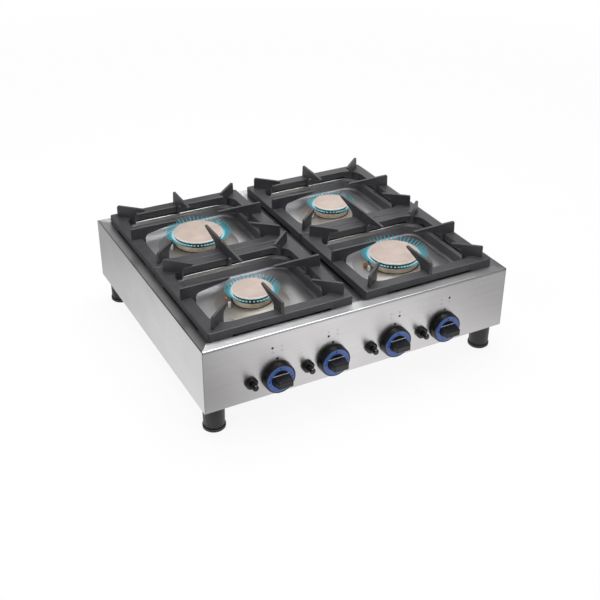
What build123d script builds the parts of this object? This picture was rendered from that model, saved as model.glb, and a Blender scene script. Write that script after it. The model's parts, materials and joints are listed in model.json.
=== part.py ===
"""Countertop gas stove with four burners, cast pan supports and a steel cabinet on adjustable feet.

Millimetres, +Z up. The origin is on the floor, under the middle of the cabinet. The front is -Y.
"""

from build123d import *
from math import atan2, cos, degrees, hypot, radians, sin
import os

os.makedirs("parts", exist_ok=True)

# Cabinet
cabinet_width = 800.0
cabinet_depth = 700.0
cabinet_height = 160.0
foot_height = 68.0
panel_gauge = 1.5
flange_width = 25.0
panel_seam = 0.3
face_gap = 0.3

# Worktop
worktop_gauge = 2.0
side_gap = 1.6
lip_height = 5.0
lip_radius = 2.5
skirt_height = 20.0
side_rim = 27.0
end_rim = 27.5
well_margin = 1.0
well_depth = 32.0
well_corner = 42.0
well_wall = 3.2
well_draft = 10.0
shoulder_radius = 3.0
floor_radius = 7.0
cone_rise = 10.0
cone_reach = 42.0

# Pan supports
column_gap = 33.0
row_gap = 1.5
grate_height = 52.0
grate_corner = 6.0
rail_width = 29.0
rail_height = 22.0
rail_wall = 7.0
rail_edge = 2.0
throat_corner = 42.0
slot_height = 5.0
slot_inset = 57.0
fin_base = 10.0
fin_top = 6.0
fin_edge = 0.8
fin_slope = 1.5
fin_nose = 3.0
fin_setback = 0.5
pan_clearance = 56.5
tip_height = 4.5
tip_slant = 1.0
diagonal_tip = 142.0
diagonal_end = 217.0
gusset_reach = 9.0
gusset_foot = 5.0
arch_height = 9.5
arch_reach = 8.0
arch_bevel = 3.0
corner_arch_height = 14.0
dimple_diameter = 6.0
dimple_reach = 162.0
dimple_height = 41.0
dimple_web = 4.8

# Burners
large_cap_diameter = 126.0
small_cap_diameter = 96.0
cap_top = 7.0
cap_thickness = 4.0
cap_bevel = 2.0
cap_overhang = 2.5
crown_height = 13.0
crown_wall = 7.0
crown_floor = 3.0
large_ports = 48
small_ports = 36
port_width = 1.8
port_depth = 5.0
cup_wall = 5.0
mixing_tube = 34.0
mixing_bore = 26.0
tube_length = 80.0
tube_mouth = 31.0
tube_flare = 20.0
tube_flare_depth = 8.5
chamber_diameter = 58.0
casting_wall = 4.0
casting_pad = 2.0
burner_seat = 0.3

# Igniters at the burners
electrode_gap = 12.0
electrode_offset = -6.0
pilot_offset = 14.0
electrode_diameter = 7.0
pilot_diameter = 7.0
electrode_height = 12.0
rod_depth = 24.0

# Controls on the front panel
knob_height = 47.0
knob_pair_pitch = 140.5
knob_pair_inset = 41.5
knob_diameter = 74.0
knob_base = 76.0
knob_depth = 13.0
knob_edge = 1.5
knob_shell = 3.0
knob_travel = 4.0
knob_lift = 1.0
knob_boss = 16.0
ring_outer = 70.0
ring_inner = 45.0
ring_thickness = 0.8
grip_length = 43.0
grip_height = 21.0
grip_front_length = 37.0
grip_front_height = 17.0
grip_reach = 26.0
spindle_diameter = 8.0
spindle_flat = 2.6
shaft_clearance = 0.05
plug_diameter = 14.0
plug_length = 36.0
plug_hole = 16.0
travel_gap = 1.0

# Piezo igniters on the front panel
igniter_offset = 65.0
igniter_rise = 1.0
collar_diameter = 29.0
collar_depth = 10.0
collar_bevel = 3.0
button_diameter = 14.5
button_reach = 28.0
button_crown = 2.5
button_travel = 5.0
barrel_diameter = 18.0
barrel_length = 46.0

# Gas line
valve_diameter = 28.0
valve_length = 48.0
valve_setback = 4.0
valve_outlet = 12.0
outlet_diameter = 16.0
neck_diameter = 14.0
manifold_diameter = 21.0
manifold_wall = 2.0
manifold_rise = 27.0
manifold_inset = 45.0
manifold_bend = 40.0
pipe_diameter = 8.0
pipe_bend = 12.0
pipe_tail = 4.0
pipe_setback = 34.0
injector_diameter = 14.0
injector_shank = 7.0
injector_length = 22.0
injector_entry = 6.0
inlet_diameter = 20.9
inlet_reach = 44.0
inlet_chamfer = 1.0
inlet_neck = 24.0
inlet_collar = 1.0
inlet_hex = 27.0

# Feet
foot_inset = 35.0
sleeve_top = 51.0
sleeve_bottom = 49.0
sleeve_bore = 41.0
sleeve_roof = 8.0
foot_disc = 53.0
foot_disc_height = 9.5
foot_stem = 39.0
foot_chamfer = 3.0
foot_gap = 0.5
foot_travel = 15.0
foot_hold = 19.0
stud_diameter = 10.0
stud_clearance = 0.5
bracket_size = 56.0
bracket_gauge = 3.0
nut_size = 17.0
nut_height = 8.0

# Rails, vents and screws inside
rail_channel_width = 44.0
rail_channel_gauge = 2.0
vent_width = 24.0
vent_length = 180.0
vent_pitch = 110.0
vent_count = 2
rear_vent_width = 7.0
rear_vent_height = 60.0
rear_vent_pitch = 24.0
rear_vent_count = 5
rear_vent_place = 160.0
screw_diameter = 4.0
screw_head = 8.0
screw_head_height = 2.4
screw_head_taper = 20.0
screw_length = 8.0
screw_inset = 32.0
screw_clearance = 0.2

# Levels
cabinet_floor = foot_height
rim_z = cabinet_floor + cabinet_height
front_y = -cabinet_depth / 2
rear_y = cabinet_depth / 2
control_z = cabinet_floor + knob_height
base_top = cabinet_floor + 2 * panel_gauge

# Burner places, worked out from the rims and gaps round the pan supports
grate_width = (cabinet_width - 2 * side_rim - column_gap) / 2
grate_depth = (cabinet_depth - 2 * end_rim - row_gap) / 2
throat_width = grate_width - 2 * rail_width
throat_depth = grate_depth - 2 * rail_width
burner_x = (column_gap + grate_width) / 2
burner_y = (row_gap + grate_depth) / 2
knob_inner_x = burner_x - knob_pair_inset - knob_pair_pitch / 2
knob_outer_x = knob_inner_x + knob_pair_pitch
front_reach = burner_x - knob_inner_x - pipe_bend - pipe_tail - injector_length + injector_entry

burners = {
    "front_left": (-1, -1, small_cap_diameter, -knob_inner_x),
    "front_right": (1, -1, large_cap_diameter, knob_inner_x),
    "rear_left": (-1, 1, large_cap_diameter, -knob_outer_x),
    "rear_right": (1, 1, small_cap_diameter, knob_outer_x),
}
mixing_tubes = {
    "front_left": (1, front_reach),
    "front_right": (-1, front_reach),
    "rear_left": (-1, tube_length),
    "rear_right": (1, tube_length),
}
corners = {
    "front_left": (-1, -1),
    "front_right": (1, -1),
    "rear_left": (-1, 1),
    "rear_right": (1, 1),
}


def upright(x, y, z=0.0):
    """The upright plane through a point: its own X is the radius and its own Y is height."""
    return Plane(origin=(x, y, z), x_dir=(1, 0, 0), z_dir=(0, -1, 0))


def facing(x, z):
    """The plane for parts turned about a control's axis: its own X runs out of the front panel."""
    return Plane(origin=(x, front_y, z), x_dir=(0, -1, 0), z_dir=(1, 0, 0))


def outline(plane, points):
    """A flat face on a plane, bounded by straight lines through the points."""
    with BuildSketch(plane) as shape:
        with BuildLine():
            Polyline(*points, close=True)
        make_face()
    return shape.sketch


def keep(part, name):
    """Labels a finished piece and writes it to its own file."""
    part.label = name
    export_step(part, f"parts/{name}.step")


# Worktop: a pressed lid with its front and rear edges bent down and a hidden skirt at each side
worktop_half = cabinet_width / 2 - panel_gauge - side_gap
well_width = throat_width + 2 * well_margin
well_length = throat_depth + 2 * well_margin
with BuildPart() as worktop:
    with BuildSketch(Plane.XY.offset(rim_z)):
        Rectangle(2 * worktop_half, cabinet_depth)
    extrude(amount=-worktop_gauge)
    for end in (-1, 1):
        lip_y = end * (cabinet_depth / 2 - worktop_gauge / 2)
        with BuildSketch(Plane((0, lip_y, rim_z))):
            Rectangle(2 * worktop_half, worktop_gauge)
        extrude(amount=-lip_height)
        skirt_x = end * (worktop_half - worktop_gauge / 2)
        with BuildSketch(Plane((skirt_x, 0, rim_z))):
            Rectangle(worktop_gauge, cabinet_depth - 2 * flange_width)
        extrude(amount=-skirt_height)
    rim_edges = worktop.edges().filter_by(Axis.X).group_by(Axis.Z)[-1]
    fillet(rim_edges, lip_radius)
    well_centres = [(x * burner_x, y * burner_y) for x, y in corners.values()]
    with BuildSketch(Plane.XY.offset(rim_z - worktop_gauge)):
        with Locations(*well_centres):
            RectangleRounded(
                well_width + 2 * well_wall, well_length + 2 * well_wall, well_corner + well_wall
            )
    extrude(amount=-well_depth, taper=well_draft)
    with BuildSketch(Plane.XY.offset(rim_z)):
        with Locations(*well_centres):
            RectangleRounded(well_width, well_length, well_corner)
    extrude(amount=-well_depth, taper=well_draft, mode=Mode.SUBTRACT)
    top_face = worktop.faces().filter_by(Plane.XY).sort_by(Axis.Z)[-1]
    shoulders = [edge for wire in top_face.inner_wires() for edge in wire.edges()]
    fillet(shoulders, shoulder_radius)
    floor_level = rim_z - well_depth
    floors = [f for f in worktop.faces().filter_by(Plane.XY) if abs(f.center().Z - floor_level) < 0.01]
    fillet([edge for floor in floors for edge in floor.outer_wire().edges()], floor_radius)
    for side, end, cap_diameter, _ in burners.values():
        centre = (side * burner_x, end * burner_y)
        ring = cap_diameter / 2 - cap_overhang
        cone_foot = ring + cone_reach
        with BuildSketch(Plane((*centre, rim_z))):
            Circle(cone_foot)
        extrude(amount=-2 * well_depth, mode=Mode.SUBTRACT)
        cone_outline = [
            (cone_foot, -well_depth),
            (ring + cap_overhang, cone_rise - well_depth),
            (ring - cup_wall, cone_rise - well_depth),
            (ring - cup_wall, cone_rise - well_depth - worktop_gauge),
            (ring + cap_overhang, cone_rise - well_depth - worktop_gauge),
            (cone_foot, -well_depth - worktop_gauge),
        ]
        cone_axis = Axis((*centre, rim_z), (0, 0, 1))
        revolve(outline(upright(*centre, rim_z), cone_outline), axis=cone_axis)
        rod_x = centre[0] - cap_diameter / 2 - electrode_gap
        with BuildSketch(Plane.XY.offset(rim_z)):
            with Locations((rod_x, centre[1] + electrode_offset)):
                Circle(electrode_diameter / 2 + burner_seat)
            with Locations((rod_x, centre[1] + pilot_offset)):
                Circle(pilot_diameter / 2 + burner_seat)
        extrude(amount=-2 * well_depth, mode=Mode.SUBTRACT)
keep(worktop.part, "worktop")


# Front and rear panels: sheets with a return flange at the top and the bottom, between the sides
panel_half = cabinet_width / 2 - panel_gauge - panel_seam
panel_top = rim_z - lip_height - panel_seam
flange_half = cabinet_width / 2 - flange_width - panel_seam
igniter_z = control_z + igniter_rise
vent_z = cabinet_floor + cabinet_height / 2
inlet_x = cabinet_width / 2 - manifold_inset
inlet_z = control_z + manifold_rise
screw_x = cabinet_width / 2 - panel_gauge - flange_width / 2
screw_heights = [cabinet_floor + screw_inset, vent_z, rim_z - screw_inset]


def end_panel(end):
    """The bent sheet of the front (-1) or rear (1) panel, still without its holes."""
    face_y = end * cabinet_depth / 2
    inner_y = end * (cabinet_depth / 2 - panel_gauge)
    with BuildPart() as sheet:
        with BuildSketch(Plane((0, (face_y + inner_y) / 2, cabinet_floor))):
            Rectangle(2 * panel_half, panel_gauge)
        extrude(amount=panel_top - cabinet_floor)
        for level in (cabinet_floor, panel_top - panel_gauge):
            with BuildSketch(Plane((0, end * (cabinet_depth - flange_width) / 2, level))):
                Rectangle(2 * flange_half, flange_width)
            extrude(amount=panel_gauge)
    return sheet.part


front_sheet = end_panel(-1)
with BuildPart() as front_panel:
    add(front_sheet)
    with BuildSketch(Plane((0, front_y - panel_gauge, 0), x_dir=(1, 0, 0), z_dir=(0, 1, 0))):
        for _, _, _, knob_x in burners.values():
            with Locations((knob_x, -control_z)):
                Circle(plug_hole / 2)
            with Locations((knob_x - igniter_offset, -igniter_z)):
                Circle(barrel_diameter / 2 + screw_clearance)
    extrude(amount=3 * panel_gauge, mode=Mode.SUBTRACT)
keep(front_panel.part, "front_panel")

rear_sheet = end_panel(1)
with BuildPart() as rear_panel:
    add(rear_sheet)
    with BuildSketch(Plane((0, rear_y + panel_gauge, 0), x_dir=(1, 0, 0), z_dir=(0, -1, 0))):
        for side in (-1, 1):
            with Locations((side * rear_vent_place, vent_z)):
                with GridLocations(rear_vent_pitch, 0, rear_vent_count, 1):
                    SlotOverall(rear_vent_height, rear_vent_width, rotation=90)
            with Locations(*[(side * screw_x, height) for height in screw_heights]):
                Circle(screw_diameter / 2 + screw_clearance)
        with Locations((inlet_x, inlet_z)):
            Circle(inlet_neck / 2 + screw_clearance)
    extrude(amount=3 * panel_gauge, mode=Mode.SUBTRACT)
keep(rear_panel.part, "rear_panel")


# Side panels: sheets as high as the rim, with a bottom flange and a screw flange at the rear
for name, side in (("left_side_panel", -1), ("right_side_panel", 1)):
    with BuildPart() as side_panel:
        with BuildSketch(Plane((side * (cabinet_width - panel_gauge) / 2, 0, cabinet_floor))):
            Rectangle(panel_gauge, cabinet_depth)
        extrude(amount=cabinet_height)
        with BuildSketch(Plane((side * (cabinet_width - flange_width) / 2, 0, cabinet_floor))):
            Rectangle(flange_width, cabinet_depth - 2 * panel_gauge - 2 * panel_seam)
        extrude(amount=panel_gauge)
        tab_y = rear_y - 1.5 * panel_gauge - panel_seam
        with BuildSketch(Plane((side * (cabinet_width - flange_width) / 2, tab_y, cabinet_floor))):
            Rectangle(flange_width, panel_gauge)
        extrude(amount=cabinet_height - skirt_height - lip_height)
        with BuildSketch(Plane((0, rear_y, 0), x_dir=(1, 0, 0), z_dir=(0, -1, 0))):
            with Locations(*[(side * screw_x, height) for height in screw_heights]):
                Circle(screw_diameter / 2 + screw_clearance)
        extrude(amount=4 * panel_gauge, mode=Mode.SUBTRACT)
        stud_x = side * (cabinet_width / 2 - foot_inset)
        with BuildSketch(Plane.XY.offset(cabinet_floor)):
            with Locations(*[(stud_x, end * (cabinet_depth / 2 - foot_inset)) for end in (-1, 1)]):
                Circle(stud_diameter / 2 + stud_clearance)
        extrude(amount=panel_gauge, mode=Mode.SUBTRACT)
    keep(side_panel.part, name)


# Base panel: lies on the bottom flanges, with air slots under each burner
base_half_x = cabinet_width / 2 - panel_gauge - face_gap
base_half_y = cabinet_depth / 2 - 2 * panel_gauge - panel_seam - face_gap
foot_places = [
    (x * (cabinet_width / 2 - foot_inset), y * (cabinet_depth / 2 - foot_inset))
    for x, y in corners.values()
]
with BuildPart() as base_panel:
    with BuildSketch(Plane.XY.offset(cabinet_floor + panel_gauge)):
        Rectangle(2 * base_half_x, 2 * base_half_y)
        with Locations(*foot_places):
            Circle(stud_diameter / 2 + stud_clearance, mode=Mode.SUBTRACT)
        for x, y in corners.values():
            with Locations((x * burner_x, y * burner_y)):
                with GridLocations(0, vent_pitch, 1, vent_count):
                    SlotOverall(vent_length, vent_width, mode=Mode.SUBTRACT)
    extrude(amount=panel_gauge)
keep(base_panel.part, "base_panel")

with BuildPart() as corner_brackets:
    with BuildSketch(Plane.XY.offset(base_top)):
        with Locations(*foot_places):
            RectangleRounded(bracket_size, bracket_size, bracket_gauge)
            Circle(stud_diameter / 2 + stud_clearance, mode=Mode.SUBTRACT)
    extrude(amount=bracket_gauge)
    with BuildSketch(Plane.XY.offset(base_top + bracket_gauge)):
        with Locations(*foot_places):
            RegularPolygon(nut_size / 2, 6, major_radius=False)
            Circle(stud_diameter / 2 + stud_clearance, mode=Mode.SUBTRACT)
    extrude(amount=nut_height)
keep(corner_brackets.part, "corner_brackets")


# Cross rails: channels from side to side that carry the burner castings
rail_top = control_z - mixing_tube / 2 - casting_pad
rail_half = cabinet_width / 2 - panel_gauge - face_gap
with BuildPart() as burner_rails:
    for end in (-1, 1):
        with BuildSketch(Plane((0, end * burner_y, base_top))):
            Rectangle(2 * rail_half, rail_channel_width)
        extrude(amount=rail_top - base_top)
        inner_width = rail_channel_width - 2 * rail_channel_gauge
        with BuildSketch(Plane((0, end * burner_y, base_top))):
            Rectangle(2 * rail_half + panel_gauge, inner_width)
        extrude(amount=rail_top - base_top - rail_channel_gauge, mode=Mode.SUBTRACT)
keep(burner_rails.part, "burner_rails")


# Foot sleeves: tapered plastic tubes with a stud that screws into the corner bracket's nut
sleeve_low = foot_disc_height + foot_gap
with BuildPart() as foot_sleeves:
    for x, y in foot_places:
        axis = Axis((x, y, 0), (0, 0, 1))
        sleeve_outline = [
            (0, cabinet_floor - sleeve_roof),
            (sleeve_bore / 2, cabinet_floor - sleeve_roof),
            (sleeve_bore / 2, sleeve_low),
            (sleeve_bottom / 2, sleeve_low),
            (sleeve_top / 2, cabinet_floor),
            (stud_diameter / 2, cabinet_floor),
            (stud_diameter / 2, base_top + bracket_gauge + nut_height),
            (0, base_top + bracket_gauge + nut_height),
        ]
        revolve(outline(upright(x, y), sleeve_outline), axis=axis)
keep(foot_sleeves.part, "foot_sleeves")

stem_top = foot_disc_height + foot_travel + foot_hold
for name, (x, y) in zip(corners, foot_places):
    with BuildPart() as adjuster:
        foot_outline = [
            (0, 0),
            (foot_disc / 2 - foot_chamfer, 0),
            (foot_disc / 2, foot_chamfer),
            (foot_disc / 2, foot_disc_height),
            (foot_stem / 2, foot_disc_height),
            (foot_stem / 2, stem_top),
            (0, stem_top),
        ]
        revolve(outline(upright(x, y), foot_outline), axis=Axis((x, y, 0), (0, 0, 1)))
    keep(adjuster.part, f"adjuster_foot_{name}")


# Pan supports: cast frames hollow from below, with eight fins that carry the pan
def cast_fin(centre, angle, profile, dimple=None):
    """One fin with casting draft: its profile seen from the side, and a round dimple on both faces."""
    along = (cos(radians(angle)), sin(radians(angle)), 0)
    across = (sin(radians(angle)), -cos(radians(angle)), 0)
    section = [
        (-fin_base / 2, 0),
        (fin_base / 2, 0),
        (fin_top / 2, grate_height - fin_edge),
        (fin_top / 2 - fin_edge, grate_height),
        (fin_edge - fin_top / 2, grate_height),
        (-fin_top / 2, grate_height - fin_edge),
    ]
    with BuildPart() as fin:
        with BuildSketch(Plane(origin=centre, x_dir=along, z_dir=across)):
            with BuildLine():
                Polyline(*profile, close=True)
            make_face()
        extrude(amount=fin_base, both=True)
        end_plane = Plane(origin=centre, x_dir=across, z_dir=(-along[0], -along[1], 0))
        with BuildSketch(end_plane.offset(-2 * diagonal_end)):
            with BuildLine():
                Polyline(*section, close=True)
            make_face()
        extrude(amount=2 * diagonal_end, mode=Mode.INTERSECT)
        if dimple:
            for face_side in (-1, 1):
                dimple_plane = Plane(origin=centre, x_dir=along, z_dir=across)
                with BuildSketch(dimple_plane.offset(face_side * dimple_web / 2)):
                    with Locations(dimple):
                        Circle(dimple_diameter / 2)
                extrude(amount=face_side * fin_base, mode=Mode.SUBTRACT)
    return fin.part


def side_profile(rail_edge_r):
    """Side view of a fin from the middle of a rail: radius from the burner, height over the rim."""
    throat_r = rail_edge_r - rail_width
    gusset_r = throat_r - gusset_reach
    tip_top = grate_height - fin_slope
    return [
        (rail_edge_r - rail_width / 2, gusset_foot),
        (rail_edge_r - rail_width / 2, rail_height - rail_wall / 2),
        (rail_edge_r - fin_setback, rail_height - rail_wall / 2),
        (rail_edge_r - fin_setback, grate_height - fin_nose),
        (rail_edge_r - fin_nose, grate_height),
        (pan_clearance, tip_top),
        (pan_clearance + tip_slant, tip_top - tip_height),
        (gusset_r - arch_reach, rail_height + arch_height),
        (gusset_r - arch_bevel, rail_height + arch_height - arch_bevel),
        (gusset_r, rail_height),
        (gusset_r, gusset_foot),
    ]


def corner_profile(throat_r):
    """Side view of a fin from a corner of the frame."""
    tip_top = grate_height - fin_slope
    gusset_r = throat_r - 2 * gusset_reach
    return [
        (throat_r + rail_width / 2, gusset_foot),
        (throat_r + rail_width / 2, rail_height - rail_wall / 2),
        (diagonal_end, rail_height - rail_wall / 2),
        (diagonal_end, grate_height - fin_nose),
        (diagonal_end - fin_nose, grate_height),
        (diagonal_tip, tip_top),
        (diagonal_tip + tip_slant, tip_top - tip_height - tip_slant),
        (gusset_r, rail_height + corner_arch_height),
        (gusset_r + arch_bevel, rail_height + corner_arch_height / 2),
        (gusset_r + 2 * arch_bevel, gusset_foot),
    ]


half_diagonal = hypot(throat_width, throat_depth) / 2
corner_angle = degrees(atan2(grate_depth, grate_width))
throat_r = half_diagonal - throat_corner * (2**0.5 - 1)
for name, (side, end) in corners.items():
    centre = (side * burner_x, end * burner_y, rim_z)
    fins = [cast_fin(centre, angle, side_profile(grate_width / 2)) for angle in (0, 180)]
    fins += [cast_fin(centre, angle, side_profile(grate_depth / 2)) for angle in (90, 270)]
    for angle in (corner_angle, 180 - corner_angle, 180 + corner_angle, -corner_angle):
        fins.append(cast_fin(centre, angle, corner_profile(throat_r), (dimple_reach, dimple_height)))
    with BuildPart() as grate:
        with BuildSketch(Plane(centre)):
            RectangleRounded(grate_width, grate_depth, grate_corner)
            RectangleRounded(throat_width, throat_depth, throat_corner, mode=Mode.SUBTRACT)
        extrude(amount=rail_height)
        fillet(grate.edges().group_by(Axis.Z)[-1], rail_edge)
        with BuildSketch(Plane(centre)):
            RectangleRounded(
                grate_width - 2 * rail_wall, grate_depth - 2 * rail_wall, grate_corner
            )
            RectangleRounded(
                throat_width + 2 * rail_wall,
                throat_depth + 2 * rail_wall,
                throat_corner + rail_wall,
                mode=Mode.SUBTRACT,
            )
        extrude(amount=rail_height - rail_wall, mode=Mode.SUBTRACT)
        with BuildSketch(Plane(centre)):
            Rectangle(grate_width + rail_edge, grate_depth - 2 * slot_inset)
            Rectangle(grate_width - 2 * slot_inset, grate_depth + rail_edge)
        extrude(amount=slot_height, mode=Mode.SUBTRACT)
        add(fins)
    keep(grate.part, f"grate_{name}")


# Burners: casting under the worktop, crown with flame ports, and the cap that lies on it
seat_z = rim_z - well_depth + cone_rise
crown_top = rim_z + cap_top - cap_thickness
crown_low = crown_top - crown_height
for name, (side, end, cap_diameter, _) in burners.items():
    x, y = side * burner_x, end * burner_y
    axis = Axis((x, y, 0), (0, 0, 1))
    ring = cap_diameter / 2 - cap_overhang
    hole = ring - cup_wall
    throat = hole - casting_wall
    tube_side, reach = mixing_tubes[name]
    with BuildPart() as body:
        cup_outline = [
            (0, rail_top),
            (chamber_diameter / 2, rail_top),
            (chamber_diameter / 2, control_z + mixing_tube / 2 + casting_wall),
            (hole - burner_seat, seat_z - 3 * casting_wall),
            (hole - burner_seat, seat_z),
            (ring, seat_z),
            (ring, crown_low),
            (throat, crown_low),
            (throat, seat_z - 3 * casting_wall),
            (mixing_bore / 2, control_z + mixing_tube / 2),
            (mixing_bore / 2, control_z),
            (0, control_z),
        ]
        revolve(outline(upright(x, y), cup_outline), axis=axis)
        tube_plane = Plane(origin=(x, y, control_z), x_dir=(0, 1, 0), z_dir=(tube_side, 0, 0))
        with BuildSketch(tube_plane):
            Circle(mixing_tube / 2)
        extrude(amount=reach)
        with BuildSketch(tube_plane.offset(reach)):
            Circle(tube_mouth / 2)
        extrude(amount=-tube_flare_depth, taper=tube_flare, mode=Mode.SUBTRACT)
        with BuildSketch(tube_plane):
            Circle(mixing_bore / 2)
        extrude(amount=reach, mode=Mode.SUBTRACT)
    keep(body.part, f"burner_body_{name}")

    with BuildPart() as crown:
        crown_outline = [
            (mixing_bore / 2, crown_low - crown_floor),
            (throat - burner_seat, crown_low - crown_floor),
            (throat - burner_seat, crown_low),
            (ring, crown_low),
            (ring, crown_top),
            (ring - crown_wall, crown_top),
            (ring - crown_wall, crown_low + crown_floor),
            (mixing_bore / 2, crown_low + crown_floor),
        ]
        revolve(outline(upright(x, y), crown_outline), axis=axis)
        ports = large_ports if cap_diameter == large_cap_diameter else small_ports
        with BuildSketch(Plane((x, y, crown_top))):
            with PolarLocations(ring - crown_wall / 2, ports, start_angle=180 / ports):
                Rectangle(2 * crown_wall, port_width)
        extrude(amount=-port_depth, mode=Mode.SUBTRACT)
    keep(crown.part, f"flame_spreader_{name}")

    with BuildPart() as cap:
        spigot = ring - crown_wall - burner_seat
        cap_outline = [
            (0, crown_top),
            (spigot - casting_wall, crown_top),
            (spigot - casting_wall, crown_top - casting_wall),
            (spigot, crown_top - casting_wall),
            (spigot, crown_top),
            (cap_diameter / 2, crown_top),
            (cap_diameter / 2, rim_z + cap_top - cap_bevel),
            (cap_diameter / 2 - cap_bevel, rim_z + cap_top),
            (0, rim_z + cap_top),
        ]
        revolve(outline(upright(x, y), cap_outline), axis=axis)
    keep(cap.part, f"burner_cap_{name}")


# Electrodes and pilots: upright rods through holes in the cones
with BuildPart() as spark_electrodes:
    for side, end, cap_diameter, _ in burners.values():
        x = side * burner_x - cap_diameter / 2 - electrode_gap
        y = end * burner_y + electrode_offset
        rod = electrode_diameter / 2
        electrode_outline = [
            (0, seat_z - rod_depth),
            (rod, seat_z - rod_depth),
            (rod, seat_z + electrode_height - rod),
            (rod / 2, seat_z + electrode_height),
            (rod / 3, seat_z + electrode_height),
            (rod / 3, seat_z + electrode_height + rod),
            (0, seat_z + electrode_height + rod),
        ]
        revolve(outline(upright(x, y), electrode_outline), axis=Axis((x, y, 0), (0, 0, 1)))
keep(spark_electrodes.part, "spark_electrodes")

with BuildPart() as pilot_burners:
    for side, end, cap_diameter, _ in burners.values():
        x = side * burner_x - cap_diameter / 2 - electrode_gap
        y = end * burner_y + pilot_offset
        rod = pilot_diameter / 2
        pilot_outline = [
            (0, seat_z - rod_depth),
            (rod, seat_z - rod_depth),
            (rod, seat_z + electrode_height - rod),
            (rod / 2, seat_z + electrode_height),
            (0, seat_z + electrode_height),
        ]
        revolve(outline(upright(x, y), pilot_outline), axis=Axis((x, y, 0), (0, 0, 1)))
keep(pilot_burners.part, "pilot_burners")


# Controls: knob with its coloured ring, D-shaped spindle, and the plug that it turns in the valve
skirt_rear = knob_travel + knob_lift
skirt_front = skirt_rear + knob_depth
knob_r = knob_diameter / 2
bore_r = spindle_diameter / 2 + shaft_clearance
plug_rear = -panel_gauge - valve_setback - plug_length
spindle_rear = plug_rear + 2 * (knob_travel + travel_gap)


def d_section(radius, flat):
    """A circle with one flat, so that a shaft and its bore turn together."""
    Circle(radius)
    with Locations((0, flat + radius)):
        Rectangle(4 * radius, 2 * radius, mode=Mode.SUBTRACT)


for name, (_, _, _, knob_x) in burners.items():
    face = facing(knob_x, control_z)
    axis = Axis((knob_x, front_y, control_z), (0, -1, 0))
    front = Plane(origin=(knob_x, front_y, control_z), x_dir=(1, 0, 0), z_dir=(0, -1, 0))
    with BuildPart() as knob:
        knob_outline = [
            (skirt_rear, knob_base / 2 - knob_shell),
            (skirt_rear, knob_base / 2),
            (skirt_front - knob_edge, knob_r),
            (skirt_front, knob_r - knob_edge),
            (skirt_front, ring_outer / 2),
            (skirt_front - ring_thickness, ring_outer / 2),
            (skirt_front - ring_thickness, ring_inner / 2),
            (skirt_front, ring_inner / 2),
            (skirt_front, 0),
            (skirt_rear, 0),
            (skirt_rear, knob_boss / 2),
            (skirt_front - ring_thickness - knob_shell, knob_boss / 2),
            (skirt_front - ring_thickness - knob_shell, knob_r - knob_shell),
        ]
        revolve(outline(face, knob_outline), axis=axis)
        with BuildSketch(front.offset(skirt_front)):
            RectangleRounded(grip_length, grip_height, knob_shell)
        with BuildSketch(front.offset(skirt_front + grip_reach)):
            RectangleRounded(grip_front_length, grip_front_height, knob_shell)
        loft()
        chamfer(knob.faces().sort_by(Axis.Y)[0].edges(), knob_edge)
        with BuildSketch(front.offset(skirt_rear)):
            d_section(bore_r, spindle_flat + shaft_clearance)
        extrude(amount=knob_depth, mode=Mode.SUBTRACT)
    keep(knob.part, f"knob_{name}")

    with BuildPart() as knob_ring:
        with BuildSketch(front.offset(skirt_front - ring_thickness)):
            Circle(ring_outer / 2)
            Circle(ring_inner / 2, mode=Mode.SUBTRACT)
        extrude(amount=ring_thickness)
    keep(knob_ring.part, f"knob_ring_{name}")

    with BuildPart() as spindle:
        with BuildSketch(front.offset(spindle_rear)):
            d_section(spindle_diameter / 2, spindle_flat)
        extrude(amount=skirt_front - spindle_rear)
    keep(spindle.part, f"spindle_{name}")

    with BuildPart() as plug:
        with BuildSketch(front.offset(plug_rear)):
            Circle(plug_diameter / 2 - shaft_clearance)
        extrude(amount=plug_length)
        with BuildSketch(front.offset(spindle_rear - knob_travel - travel_gap)):
            d_section(bore_r, spindle_flat + shaft_clearance)
        extrude(amount=plug_length + knob_travel, mode=Mode.SUBTRACT)
    keep(plug.part, f"tap_plug_{name}")


# Gas valves: turned bodies that hang from the manifold and take the plugs
valve_front = -panel_gauge - valve_setback
valve_rear = valve_front - valve_length
manifold_y = front_y - valve_front + valve_length / 2
with BuildPart() as gas_valves:
    for _, _, _, knob_x in burners.values():
        valve_r = valve_diameter / 2
        valve_outline = [
            (valve_front, plug_diameter / 2),
            (valve_front, valve_r - casting_wall),
            (valve_front - valve_outlet, valve_r - casting_wall),
            (valve_front - valve_outlet, valve_r),
            (valve_rear + casting_wall, valve_r),
            (valve_rear, valve_r - casting_wall),
            (valve_rear, outlet_diameter / 2),
            (valve_rear - valve_outlet, outlet_diameter / 2),
            (valve_rear - valve_outlet, 0),
            (plug_rear, 0),
            (plug_rear, plug_diameter / 2),
        ]
        axis = Axis((knob_x, front_y, control_z), (0, -1, 0))
        revolve(outline(facing(knob_x, control_z), valve_outline), axis=axis)
        with BuildSketch(Plane((knob_x, manifold_y, control_z + valve_r - casting_wall))):
            Circle(neck_diameter / 2)
        extrude(amount=manifold_rise - valve_r + casting_wall)
    manifold_seat = Plane(
        origin=(-cabinet_width / 2, manifold_y, control_z + manifold_rise),
        x_dir=(0, 1, 0),
        z_dir=(1, 0, 0),
    )
    with BuildSketch(manifold_seat):
        Circle(manifold_diameter / 2)
    extrude(amount=cabinet_width, mode=Mode.SUBTRACT)
keep(gas_valves.part, "gas_valves")


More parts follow.
